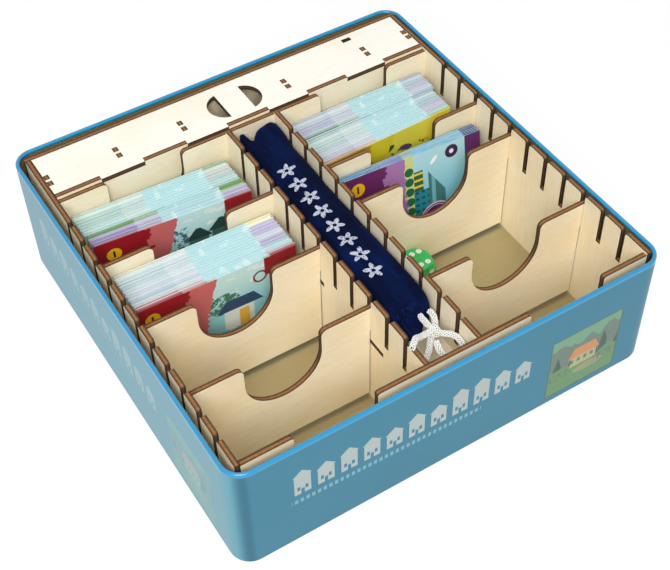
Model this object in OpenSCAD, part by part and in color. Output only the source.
// Square tin game box with a laser-cut plywood organiser, sleeved cards,
// a coin tray, a die and a drawstring bag.
// Millimetres, +Z up, X along the front side, Y towards the back.
// Origin: middle of the tin's underside.

/* [Tin] */
// Outside width of the tin, side to side
tin_w = 254; // [246:1:280]
// Outside depth of the tin, front to back
tin_d = 254; // [246:1:280]
// Outside height of the tin
tin_h = 77.5; // [74:0.5:95]
// Thickness of the tin sheet
sheet_t = 0.5; // [0.3:0.1:0.8]
// Outside radius of the upright corners
tin_corner_r = 11.5; // [10:0.5:16]
// Outside radius of the edge where the walls meet the floor
tin_foot_r = 3; // [2:0.5:5]
// Diameter of the rolled rim
rim_d = 2.4; // [2:0.1:3.2]

/* [Plywood frame] */
// Thickness of the plywood
ply_t = 3; // [2.6:0.1:3.6]
// Room between the frame and the rolled rim on each side
frame_play = 2.6; // [1.4:0.1:4]
// How far the frame stands to the right of the middle of the tin
frame_shift = 1; // [0:0.1:1.2]
// Room between the frame's corners and the rim's corners
corner_play = 0.3; // [0.2:0.1:1]
// How far the tall boards stop below the top of the rim
frame_drop = 0; // [0:0.5:3]
// How far the front and rear panels stop below the tall boards
panel_drop = 1.5; // [0.5:0.1:4]
// Clear width of the bag channel
channel_w = 28.2; // [24:0.1:34]
// Depth of the channel, from the tall boards down to its floor
channel_depth = 29.5; // [26:0.5:40]
// Length of the tabs that join the boards
tab_len = 16; // [10:1:18]
// Height of the lower joining tabs above the tin floor
low_tab = 12; // [8:1:16]
// Height of the upper joining tabs above the tin floor
high_tab = 38; // [36:1:44]
// Length of the tabs that carry the channel floor
floor_tab_len = 12; // [8:0.5:16]
// Room round each tab in its mortise
joint_gap = 0.1; // [0.05:0.05:0.2]

/* [Divider slots] */
// Number of slots in each wall
slot_count = 11; // [9:1:12]
// How much wider a slot is than the plywood
slot_play = 0.4; // [0.2:0.1:0.8]
// Depth of the slots
slot_depth = 22.5; // [18:0.5:28]
// Radius of the rounded tops between the slots
tooth_r = 1.6; // [1:0.1:4]
// Distance from the front panel to the middle of the nearest slot
front_slot_y = 15.75; // [8:0.05:18]
// Distance from the rear panel to the middle of the nearest slot
rear_slot_y = 18.6; // [8:0.1:22]

/* [Dividers] */
// Slots used in the left column, counted from the back
left_slots = [3, 6, 9];
// Slots used in the right column, counted from the back
right_slots = [3, 5, 9];
// Height of a divider's ears above the bottom of the slots
ear_h = 17; // [12:0.5:20]
// Room under a divider
divider_lift = 2.5; // [0.5:0.1:4]
// Room between a divider and the walls on each side
divider_play = 0.5; // [0.3:0.1:1.2]
// How far the ears stop short of the walls' far faces
ear_short = 0.7; // [0.1:0.1:1]
// Width of a divider's finger cut
cut_w = 44; // [30:1:60]
// Depth of the finger cuts
cut_depth = 35; // [26:0.5:38]
// Radius where a divider's finger cut runs into its top edge
cut_lip_r = 3.5; // [1:0.5:6]
// The same radius on the front panel
front_lip_r = 1.5; // [1:0.5:4]
// The same radius on the rear panel
rear_lip_r = 3; // [1:0.5:4]
// Width of the finger cuts in the front and rear panels
panel_cut_w = 46; // [30:1:48]

/* [Coin tray] */
// Depth of the bay for the tray, from the rear panel to the back panel
tray_bay_d = 35.36; // [30:0.1:42]
// Room round the tray in its bay
tray_play = 0.35; // [0.2:0.05:1]
// Height of the tray's walls
tray_h = 74; // [60:0.5:74]
// Number of steps along the lid's front edge
lid_steps = 9; // [5:2:13]
// Places of the tray dividers, as shares of half the tray's length
tray_dividers = [-0.638, -0.2975, 0.2752, 0.739];
// Length of the divider tabs that come up through the lid
pair_tab = 3.6; // [2.5:0.1:5]
// Bridge between the two tabs of a pair
pair_bridge = 1.8; // [1.2:0.1:3]
// How far the pairs lie in front of the tray's middle
pair_shift = 2.5; // [0:0.1:5]
// Radius of the two finger holes
finger_r = 10.9; // [9:0.1:13]
// Distance of each finger hole's circle from the middle
finger_x = 5.9; // [5:0.1:7]
// Half the bridge between the finger holes
finger_bridge = 7.75; // [6:0.05:9]
// Length of the small slot near the lid's rear edge
latch_w = 6; // [4:0.5:10]
// Place of the small slot, as a share of half the tray's length
latch_share = 0.708; // [0.6:0.01:0.73]

/* [Cards] */
// Room beside the cards in a column
card_play = 9.9; // [6:0.1:14]
// Room between the left side wall and the cards
left_card_room = 4.5; // [3:0.1:6]
// Room between the right channel wall and the cards
right_card_room = 4; // [3:0.1:5]
// Height of a sleeved card
card_h = 63; // [58:0.5:66]
// Thickness of a sleeved card
card_t = 0.5; // [0.4:0.05:0.5]
// Distance from card to card in a pack
card_pitch = 0.56; // [0.54:0.01:0.6]
// Room before and behind a pack
card_gap = 0.5; // [0.3:0.1:1]
// How far the cards of a pack are shuffled sideways
card_shuffle = 0.45; // [0:0.05:0.6]
// How far the cards of a pack stand unlevel
card_stagger = 0.25; // [0:0.05:0.4]
// How far the left front pack stands to the side of the pack behind it
pack_step = 0.8; // [0:0.1:1.2]
// Room between the right channel wall and the right front pack
front_card_room = 1.6; // [1.2:0.1:3]
// Turn of the packs in the left column
left_turn = 3.4; // [0:0.1:4]
// Share of the left rear bay filled by the rear pack
left_back_fill = 0.36; // [0.1:0.01:0.4]
// Share of the left rear bay filled by the front pack
left_front_fill = 0.19; // [0.05:0.01:0.22]
// Share of the left middle bay filled by its pack
left_middle_fill = 0.6; // [0.1:0.01:0.66]
// Share of the right rear bay filled by the rear pack
right_back_fill = 0.36; // [0.1:0.01:0.4]
// Share of the right rear bay filled by the front pack
right_front_fill = 0.44; // [0.1:0.01:0.46]
// Number of cards leaning in the right middle bay
leaning_cards = 7; // [2:1:10]
// Lean of those cards
card_lean = 9; // [4:1:12]

/* [Die] */
// Size of the die across its faces
die_size = 18; // [16:0.5:19]
// Radius of the ball that rounds the die off, as a share of its size
die_ball = 0.688; // [0.68:0.004:0.72]
// Diameter of a pip
pip_d = 3.4; // [2:0.1:3.6]
// Depth of a pip
pip_depth = 0.4; // [0.2:0.1:0.6]
// Place of the die across its column, as a share of the column's width
die_share = 0.325; // [0.15:0.005:0.85]
// Distance from the divider behind the die
die_gap = 0.5; // [0.3:0.1:4]

/* [Bag] */
// Room round the bag in the channel
bag_play = 0.3; // [0.2:0.1:1]
// Height of the bag
bag_h = 24.5; // [20:0.5:28]
// Rounding of the bag's long edges
bag_edge_r = 7; // [4:0.5:9]
// Distance from the front panel to the bag's mouth
bag_mouth = 35; // [33:1:60]
// Distance from the rear panel to the bag's closed end
bag_rear = 1; // [1:0.5:20]
// Width of the loose hem beyond the drawcord
hem_w = 8; // [6:0.5:14]
// How far the hem reaches out of the bag's front
hem_reach = 10; // [4:0.5:12]
// Thickness of the folded hem
hem_t = 5; // [3:0.5:6]
// Diameter of the drawcord
cord_d = 3.6; // [2.4:0.1:3.7]
// Diameter of the knot in the drawcord
knot_d = 10; // [8:0.5:11]

/* [Hidden] */
$fn = 48;

// a little more than nothing, so that cuts run past the faces
past = 1;

// The frame fills the tin between the rims, less its play.
frame_w = tin_w - 2 * (rim_d + frame_play);
frame_z = sheet_t;
frame_h = tin_h - sheet_t - frame_drop;
// Its corners stay inside the rounded corners of the rim.
corner_in_r = tin_corner_r - rim_d;
corner_dx = frame_w / 2 + frame_shift - (tin_w / 2 - tin_corner_r);
end_y = tin_d / 2 - tin_corner_r + sqrt(pow(corner_in_r, 2) - pow(corner_dx, 2)) - corner_play;

// Boards from front to back
front_y = -end_y;
front_in = front_y + ply_t;
back_in = end_y - ply_t;
rear_out = back_in - tray_bay_d;
rear_in = rear_out - ply_t;

// Columns from the middle outwards
wall_x = channel_w / 2;
col_in = wall_x + ply_t;
col_out = frame_w / 2 - ply_t;
col_mid = (col_in + col_out) / 2;

// Slots, spread evenly over what the end bays leave
slot_w = ply_t + slot_play;
slot_z = frame_h - slot_depth;
slot_pitch = (rear_in - front_in - front_slot_y - rear_slot_y) / (slot_count - 1);
function slot_y(n) = front_in + front_slot_y + (slot_count - n) * slot_pitch;

// Front and rear panels, and the low front ends of the channel walls
panel_h = frame_h - panel_drop;
floor_z = frame_h - channel_depth - ply_t;
floor_tab_at = [for (k = [-1:1]) (front_in + rear_in) / 2 + k * (rear_in - front_in) * 0.292];

// Finger joint between the back panel and the side walls
finger_z = [frame_h / 3, frame_h * 2 / 3];

// Dividers, measured from the bottom of the frame
divider_z0 = divider_lift;
divider_z1 = slot_z + ear_h;

// Coin tray
tray_x = col_out - tray_play;
tray_y0 = rear_out + tray_play;
tray_y1 = back_in - tray_play;
tray_mid = (tray_y0 + tray_y1) / 2;
pair_y = tray_mid - pair_shift;
step_w = 2 * tray_x / lid_steps;
tray_tab_z = tray_h * 0.4;

// Bays for the cards
function left_y(n) = slot_y(left_slots[n]);
function right_y(n) = slot_y(right_slots[n]);
card_w = col_out - col_in - card_play;
card_x = col_in + right_card_room;

// Drawcord routes, from the bag's mouth; x and z from the channel's
// middle and floor, y from the front panel's inside face. They are drawn
// for the first sizes of the channel and bag, and follow them.
cord_sides = 8;
cord_at = [channel_w / 28.2, bag_mouth / 35, bag_h / 24.5];
function laid(route) =
  [for (p = route) [p[0] * cord_at[0], p[1] * cord_at[1], p[2] * cord_at[2]]];
long_tail = laid([[10.5, 34.7, 16.5], [10.4, 30.8, 16.5], [7.7, 25.5, 15.5], [3, 22, 14.6],
  [-3, 15.2, 14.3], [-9.6, 9.5, 14.5]]);
short_tail = laid([[4.6, 34.6, 16.5], [4, 27, 17.5], [3, 22.3, 18.4], [-6, 18.6, 23],
  [-10.4, 15.7, 27.9], [-12.8, 13.8, 30.1], [-17.4, 10, 30.1]]);
loop_route = laid([[7, 19.1, 16.7], [11, 15.4, 16.9], [12, 10.6, 17.3], [11, 5.9, 16.9],
  [6.6, 4, 16.3], [1.6, 4.9, 16.3], [-0.2, 9.5, 16.9], [1.4, 15.5, 17.7]]);
knot_at = laid([[3.2, 21.7, 16.5]])[0];
cord_base = [0, front_in, frame_z + floor_z + ply_t];

// ---------------------------------------------------------------- helpers

// Everything inside the tin stands on its floor and shares the frame's shift.
module in_tin() {
  translate([frame_shift, 0, frame_z]) children();
}

// A board cut from a drawing in X and Z, standing across the tin.
module across(y) {
  translate([0, y + ply_t, 0]) rotate([90, 0, 0]) linear_extrude(ply_t) children();
}

// A board cut from a drawing in Y and Z, standing along the tin.
module along(x) {
  translate([x, 0, 0]) rotate([90, 0, 90]) linear_extrude(ply_t) children();
}

// A board cut from a drawing in X and Y, lying flat.
module flat(z) {
  translate([0, 0, z]) linear_extrude(ply_t) children();
}

// A rectangle given by its two corners.
module rect(x0, y0, x1, y1) {
  translate([x0, y0]) square([x1 - x0, y1 - y0]);
}

// What a round corner takes off a board whose corner lies at the origin,
// with the board towards +x and -y.
module corner_off(r) {
  difference() {
    rect(-past, -r, r, past);
    translate([r, -r]) circle(r);
  }
}

// An upright slot or cut with a round lip on each side of its mouth.
module lipped_mouth(w, top, r) {
  for (s = [0, 1]) mirror([s, 0]) translate([w / 2, top]) corner_off(r);
}

// Slots for the dividers along the top of a wall.
module divider_slots() {
  for (n = [1:slot_count]) translate([slot_y(n), 0]) {
    rect(-slot_w / 2, slot_z, slot_w / 2, frame_h + past);
    lipped_mouth(slot_w, frame_h, tooth_r);
  }
}

// A finger cut: straight sides, a half-round bottom and round lips.
module finger_cut(w, top, lip) {
  rect(-w / 2, top - cut_depth + w / 2, w / 2, top + past);
  translate([0, top - cut_depth + w / 2]) circle(w / 2, $fn = 96);
  lipped_mouth(w, top, lip);
}

// The heights of the joining tabs.
module at_tabs() {
  for (z = [low_tab, high_tab]) translate([0, z]) children();
}

// A mortise for a joining tab, with its middle at y.
module tab_mortise(y) {
  h = ply_t / 2 + joint_gap;
  at_tabs() rect(y - h, -joint_gap, y + h, tab_len + joint_gap);
}

// ---------------------------------------------------------------- tin

// The sheet's outline in section, from the corner's middle outwards:
// floor, round foot, wall and rolled rim.
module tin_section() {
  r = tin_corner_r;
  f = tin_foot_r;
  rect(0, 0, r - f, sheet_t);
  intersection() {
    translate([r - f, f]) difference() {
      circle(f);
      circle(f - sheet_t);
    }
    rect(r - f, 0, r + past, f);
  }
  rect(r - sheet_t, f, r, tin_h - rim_d / 2);
  translate([r - rim_d / 2, tin_h - rim_d / 2]) difference() {
    circle(rim_d / 2);
    circle(rim_d / 2 - sheet_t);
    rect(-0.2, -rim_d, 0.2, 0);
  }
}

module tin_base() {
  cx = tin_w / 2 - tin_corner_r;
  cy = tin_d / 2 - tin_corner_r;
  color([0.33, 0.53, 0.65]) {
    translate([-cx, -cy, 0]) cube([2 * cx, 2 * cy, sheet_t]);
    for (s = [0, 1]) mirror([s, 0, 0]) {
      translate([cx, cy, 0]) rotate([90, 0, 0]) linear_extrude(2 * cy) tin_section();
      for (t = [0, 1]) mirror([0, t, 0])
        translate([cx, cy, 0]) rotate_extrude(angle = 90) tin_section();
    }
    for (t = [0, 1]) mirror([0, t, 0])
      translate([-cx, cy, 0]) rotate([90, 0, 90]) linear_extrude(2 * cx) tin_section();
  }
}

// ---------------------------------------------------------------- frame

// Side wall in Y and Z: slots along the top, notches in the front end and
// mortises near the back for the two panels, and a finger for the back panel.
module side_wall_drawing() {
  difference() {
    union() {
      rect(-end_y, 0, back_in, frame_h);
      rect(back_in - past, finger_z[0] + joint_gap, end_y, finger_z[1] - joint_gap);
    }
    divider_slots();
    tab_mortise(front_y + ply_t / 2);
    tab_mortise(rear_in + ply_t / 2);
  }
}

module left_side_wall() {
  color([0.89, 0.83, 0.67]) in_tin() along(-frame_w / 2) side_wall_drawing();
}

module right_side_wall() {
  color([0.89, 0.83, 0.67]) in_tin() along(col_out) side_wall_drawing();
}

// Channel wall in Y and Z: the same slots, a lower front end, tabs at both
// ends and mortises for the channel floor.
module channel_wall_drawing() {
  difference() {
    union() {
      rect(front_in, 0, rear_in, frame_h);
      at_tabs() rect(front_y, 0, rear_out, tab_len);
    }
    rect(front_y, panel_h, slot_y(slot_count), frame_h + past);
    divider_slots();
    for (y = floor_tab_at) translate([y, floor_z])
      rect(-floor_tab_len / 2 - joint_gap, -joint_gap, floor_tab_len / 2 + joint_gap,
        ply_t + joint_gap);
  }
}

module left_channel_wall() {
  color([0.88, 0.81, 0.65]) in_tin() along(-col_in) channel_wall_drawing();
}

module right_channel_wall() {
  color([0.88, 0.81, 0.65]) in_tin() along(wall_x) channel_wall_drawing();
}

// Front and rear panel in X and Z: one finger cut per column, end tabs
// through the side walls and mortises for the channel walls.
module cross_panel_drawing(lip) {
  difference() {
    union() {
      rect(-col_out, 0, col_out, panel_h);
      at_tabs() rect(-frame_w / 2, 0, frame_w / 2, tab_len);
    }
    for (s = [-1, 1]) {
      translate([s * col_mid, 0]) finger_cut(panel_cut_w, panel_h, lip);
      tab_mortise(s * (wall_x + ply_t / 2));
    }
  }
}

module front_panel() {
  color([0.9, 0.84, 0.69]) in_tin() across(front_y) cross_panel_drawing(front_lip_r);
}

module rear_panel() {
  color([0.9, 0.84, 0.69]) in_tin() across(rear_in) cross_panel_drawing(rear_lip_r);
}

// Back panel in X and Z: its corners reach over the ends of the side walls.
module back_panel() {
  color([0.87, 0.8, 0.63]) in_tin() across(back_in) difference() {
    rect(-frame_w / 2, 0, frame_w / 2, frame_h);
    for (s = [0, 1]) mirror([s, 0])
      rect(col_out - joint_gap, finger_z[0], frame_w / 2 + past, finger_z[1]);
  }
}

// Channel floor in X and Y with tabs through both channel walls.
module channel_floor() {
  color([0.86, 0.79, 0.62]) in_tin() flat(floor_z) {
    rect(-wall_x, front_in, wall_x, rear_in);
    for (y = floor_tab_at)
      rect(-col_in, y - floor_tab_len / 2, col_in, y + floor_tab_len / 2);
  }
}

// ---------------------------------------------------------------- dividers

// Divider in X and Z, drawn for the right column.
module divider_drawing() {
  difference() {
    union() {
      rect(col_in + divider_play, divider_z0, col_out - divider_play, divider_z1);
      rect(wall_x + ear_short, slot_z, frame_w / 2 - ear_short, divider_z1);
    }
    translate([col_mid, 0]) finger_cut(cut_w, divider_z1, cut_lip_r);
  }
}

module right_divider(n) {
  color([0.91, 0.85, 0.71]) in_tin() across(right_y(n) - ply_t / 2) divider_drawing();
}

module left_divider(n) {
  color([0.91, 0.85, 0.71]) in_tin() across(left_y(n) - ply_t / 2)
    mirror([1, 0]) divider_drawing();
}

module left_divider_1() { left_divider(0); }
module left_divider_2() { left_divider(1); }
module left_divider_3() { left_divider(2); }
module right_divider_1() { right_divider(0); }
module right_divider_2() { right_divider(1); }
module right_divider_3() { right_divider(2); }

// ---------------------------------------------------------------- coin tray

// The X positions of all boards that stand along the tray.
tray_boards = concat([-tray_x + ply_t / 2], tray_dividers * tray_x, [tray_x - ply_t / 2]);
// Floor tabs sit in the middle of three cells.
floor_tabs_x = [for (k = [0, 2, 4]) (tray_boards[k] + tray_boards[k + 1]) / 2];

// Mortises in the tray's front and back walls.
module tray_wall_mortises() {
  for (x = tray_boards)
    rect(x - ply_t / 2 - joint_gap, tray_tab_z - joint_gap, x + ply_t / 2 + joint_gap,
      tray_tab_z + tab_len + joint_gap);
  for (x = floor_tabs_x)
    rect(x - tab_len / 2 - joint_gap, -past, x + tab_len / 2 + joint_gap, ply_t + joint_gap);
}

module tray_back_wall() {
  color([0.87, 0.8, 0.64]) in_tin() across(tray_y1 - ply_t) difference() {
    rect(-tray_x, 0, tray_x, tray_h);
    tray_wall_mortises();
  }
}

// Every other step of the front wall's top edge comes up level with the lid.
module tray_front_wall() {
  color([0.87, 0.8, 0.64]) in_tin() across(tray_y0) difference() {
    union() {
      rect(-tray_x, 0, tray_x, tray_h);
      for (k = [0:2:lid_steps - 1])
        rect(-tray_x + k * step_w, 0, -tray_x + (k + 1) * step_w, tray_h + ply_t);
    }
    tray_wall_mortises();
  }
}

module tray_floor() {
  color([0.86, 0.79, 0.62]) in_tin() flat(0) {
    rect(-tray_x + ply_t, tray_y0 + ply_t, tray_x - ply_t, tray_y1 - ply_t);
    for (x = floor_tabs_x) rect(x - tab_len / 2, tray_y0, x + tab_len / 2, tray_y1);
  }
}

// A board across the tray in Y and Z, with end tabs and a pair of top tabs.
module tray_board(x, z0) {
  in_tin() along(x - ply_t / 2) {
    rect(tray_y0 + ply_t, z0, tray_y1 - ply_t, tray_h);
    rect(tray_y0, tray_tab_z, tray_y1, tray_tab_z + tab_len);
    for (s = [-1, 1]) translate([pair_y + s * (pair_bridge + pair_tab) / 2, 0])
      rect(-pair_tab / 2, tray_h - past, pair_tab / 2, tray_h + ply_t);
  }
}

module tray_left_end() { color([0.88, 0.82, 0.66]) tray_board(tray_boards[0], 0); }
module tray_right_end() { color([0.88, 0.82, 0.66]) tray_board(tray_boards[5], 0); }
module tray_divider_1() { color([0.9, 0.84, 0.68]) tray_board(tray_boards[1], ply_t); }
module tray_divider_2() { color([0.9, 0.84, 0.68]) tray_board(tray_boards[2], ply_t); }
module tray_divider_3() { color([0.9, 0.84, 0.68]) tray_board(tray_boards[3], ply_t); }
module tray_divider_4() { color([0.9, 0.84, 0.68]) tray_board(tray_boards[4], ply_t); }

// Half-round finger hole, drawn on the right of the middle.
module finger_hole() {
  intersection() {
    translate([finger_x, 0]) circle(finger_r, $fn = 96);
    rect(finger_bridge, -2 * finger_r, finger_x + 2 * finger_r, 2 * finger_r);
  }
}

module tray_lid() {
  color([0.97, 0.95, 0.86]) in_tin() flat(tray_h) difference() {
    rect(-tray_x, tray_y0, tray_x, tray_y1);
    for (k = [0:2:lid_steps - 1])
      rect(-tray_x + k * step_w - joint_gap, tray_y0 - past,
        -tray_x + (k + 1) * step_w + joint_gap, tray_y0 + ply_t + joint_gap);
    for (x = tray_boards) for (s = [0, 1]) translate([x, pair_y]) mirror([0, s])
      rect(-ply_t / 2 - joint_gap, pair_bridge / 2 - joint_gap, ply_t / 2 + joint_gap,
        pair_bridge / 2 + pair_tab + joint_gap);
    translate([0, tray_mid]) for (s = [0, 1]) mirror([s, 0]) finger_hole();
    translate([latch_share * tray_x, tray_y1 - 1.5 * ply_t])
      rect(-latch_w / 2, -ply_t / 2, latch_w / 2, ply_t / 2);
  }
}

// ---------------------------------------------------------------- cards

// How many cards fill that share of a bay.
function cards_in(share, depth) = floor(share * depth / card_pitch);

// A small shuffle, so that no two cards of a pack stand quite level.
function shuffle_x(i) = card_shuffle * (sin(i * 137) + 0.55 * sin(i * 61));
function shuffle_z(i) = card_stagger * (1 + sin(i * 97));

// Cards standing on their long edges. The rearmost has its left rear corner
// at (x, y); the pack turns from turn by fan towards its front.
module card_pack(x, y, n, turn, fan) {
  for (i = [0:n - 1])
    translate([x, y - i * card_pitch, 0]) rotate([0, 0, turn + fan * i / n])
      translate([shuffle_x(i), -card_t, shuffle_z(i)]) cube([card_w, card_t, card_h]);
}

// Left column
left_back_n = cards_in(left_back_fill, rear_in - left_y(0));
left_front_n = cards_in(left_front_fill, rear_in - left_y(0));
left_middle_n = cards_in(left_middle_fill, left_y(0) - left_y(1));
left_card_x = -col_out + left_card_room;
left_front_y = rear_in - 2 * card_gap - left_back_n * card_pitch;

module left_rear_cards() {
  color([0.66, 0.85, 0.83]) in_tin()
    card_pack(left_card_x, rear_in - card_gap, left_back_n, -left_turn, 0);
}

module left_rear_front_cards() {
  color([0.55, 0.12, 0.2]) in_tin()
    card_pack(left_card_x + pack_step, left_front_y, left_front_n, -left_turn, -1.7);
}

module left_middle_cards() {
  color([0.7, 0.86, 0.84]) in_tin()
    card_pack(left_card_x, left_y(0) - ply_t / 2 - card_gap, left_middle_n,
      -left_turn * 0.65, 0.6);
}

// Right column
right_back_n = cards_in(right_back_fill, rear_in - right_y(0));
right_front_n = cards_in(right_front_fill, rear_in - right_y(0));

module right_rear_cards() {
  color([0.68, 0.86, 0.86]) in_tin()
    card_pack(card_x, rear_in - card_gap, right_back_n, -0.7, 0.9);
}

module right_rear_front_cards() {
  color([0.85, 0.72, 0.25]) in_tin()
    card_pack(col_in + front_card_room, rear_in - 2 * card_gap - right_back_n * card_pitch,
      right_front_n, 0.2, 1.2);
}

// A few cards leaning back on the divider behind them.
module right_middle_cards() {
  foot = card_h * sin(card_lean) + 2 * card_gap;
  color([0.5, 0.4, 0.7]) in_tin() for (i = [0:leaning_cards - 1])
    translate([card_x, right_y(0) - ply_t / 2 - foot - i * card_pitch / cos(card_lean), 0])
      rotate([-card_lean, 0, -1.5 - 0.35 * i])
        translate([shuffle_x(i), -card_t, 0]) cube([card_w, card_t, card_h]);
}

// ---------------------------------------------------------------- die

die_at = [col_in + die_share * (col_out - col_in),
  right_y(1) - ply_t / 2 - die_gap - die_size / 2, die_size / 2];
pip_step = die_size * 0.26;

// Where the pips of each number lie on a face.
function pips(n) = concat(
  n % 2 == 1 ? [[0, 0]] : [],
  n > 1 ? [[-1, -1], [1, 1]] : [],
  n > 3 ? [[-1, 1], [1, -1]] : [],
  n == 6 ? [[-1, 0], [1, 0]] : []
);

// The pips of one number, as discs sunk into the face that lies at +Z.
module face_pips(n, deeper) {
  for (p = pips(n))
    translate([p[1] * pip_step, p[0] * pip_step, die_size / 2 - pip_depth])
      cylinder(d = pip_d, h = pip_depth + deeper, $fn = 24);
}

// All six faces: opposite faces add up to seven.
module all_pips(deeper) {
  face_pips(6, deeper);
  rotate([180, 0, 0]) face_pips(1, deeper);
  rotate([90, 0, 0]) face_pips(3, deeper);
  rotate([-90, 0, 0]) face_pips(4, deeper);
  rotate([0, -90, 0]) face_pips(2, deeper);
  rotate([0, 90, 0]) face_pips(5, deeper);
}

module die() {
  color([0.05, 0.65, 0.4]) in_tin() translate(die_at) difference() {
    intersection() {
      cube(die_size, center = true);
      sphere(die_ball * die_size, $fn = 64);
    }
    all_pips(past);
  }
}

module die_pips() {
  color("white") in_tin() translate(die_at) all_pips(0);
}

// ---------------------------------------------------------------- bag

// The filled velvet bag: a rounded section along the channel, cut to a side
// view with round ends, and the folded hem that lies out in front of it.
module drawstring_bag() {
  w = channel_w - 2 * bag_play;
  r = bag_edge_r;
  y0 = front_in + bag_mouth;
  y1 = rear_in - bag_rear;
  hem_z = bag_h * 0.6;
  color([0.05, 0.08, 0.35]) in_tin() translate([0, 0, floor_z + ply_t + bag_play]) {
    intersection() {
      translate([0, y1, 0]) rotate([90, 0, 0]) linear_extrude(y1 - y0) {
        rect(-w / 2, r, w / 2, bag_h - r);
        rect(-w / 2 + r, 0, w / 2 - r, bag_h);
        for (x = [r - w / 2, w / 2 - r]) for (z = [r, bag_h - r]) translate([x, z]) circle(r);
      }
      translate([-w, 0, 0]) rotate([90, 0, 90]) linear_extrude(2 * w) {
        rect(y0, 0, y1 - r, bag_h - r);
        rect(y0 + r, 0, y1 - r, bag_h);
        rect(y0 + r, r, y1, bag_h - r);
        translate([y0 + r, bag_h - r]) circle(r);
        for (z = [r, bag_h - r]) translate([y1 - r, z]) circle(r);
      }
    }
    translate([-w / 2 + 3, 0, hem_z]) rotate([90, 0, 90]) linear_extrude(hem_w) {
      rect(y0 - hem_reach + hem_t / 2, -hem_t / 2, y0 + r, hem_t / 2);
      translate([y0 - hem_reach + hem_t / 2, 0]) circle(hem_t / 2);
    }
  }
}

// Directions and rings for a tube swept along a route.
function unit(v) = v / norm(v);
function heading(p, i) = unit(p[min(i + 1, len(p) - 1)] - p[max(i - 1, 0)]);
function ring(c, d) =
  let (a = unit(cross(d, abs(d[2]) > 0.9 ? [1, 0, 0] : [0, 0, 1])), b = cross(d, a))
  [for (k = [0:cord_sides - 1]) c + cord_d / 2 *
    (cos(360 * k / cord_sides) * a + sin(360 * k / cord_sides) * b)];

// A cord along a route of points.
module cord(route) {
  n = len(route);
  m = cord_sides;
  points = [for (i = [0:n - 1]) each ring(route[i], heading(route, i))];
  sides = [for (i = [0:n - 2]) for (k = [0:m - 1])
    [i * m + k, i * m + (k + 1) % m, (i + 1) * m + (k + 1) % m, (i + 1) * m + k]];
  caps = [[for (k = [m - 1:-1:0]) k], [for (k = [0:m - 1]) (n - 1) * m + k]];
  color([0.93, 0.93, 0.92]) translate([frame_shift, 0, 0]) translate(cord_base)
    polyhedron(points, concat(sides, caps), convexity = 6);
}

module cord_long_tail() { cord(long_tail); }
module cord_short_tail() { cord(short_tail); }
module cord_loop() { cord(loop_route); }

module cord_knot() {
  color([0.93, 0.93, 0.92]) translate([frame_shift, 0, 0])
    translate(cord_base + knot_at) sphere(d = knot_d, $fn = 32);
}

// ---------------------------------------------------------------- output

tin_base();
left_side_wall();
right_side_wall();
left_channel_wall();
right_channel_wall();
front_panel();
rear_panel();
back_panel();
channel_floor();
tray_floor();
tray_front_wall();
tray_back_wall();
tray_left_end();
tray_right_end();
tray_divider_1();
tray_divider_2();
tray_divider_3();
tray_divider_4();
tray_lid();
left_divider_1();
left_divider_2();
left_divider_3();
right_divider_1();
right_divider_2();
right_divider_3();
left_rear_cards();
left_rear_front_cards();
left_middle_cards();
right_rear_cards();
right_rear_front_cards();
right_middle_cards();
die();
die_pips();
drawstring_bag();
cord_knot();
cord_long_tail();
cord_short_tail();
cord_loop();
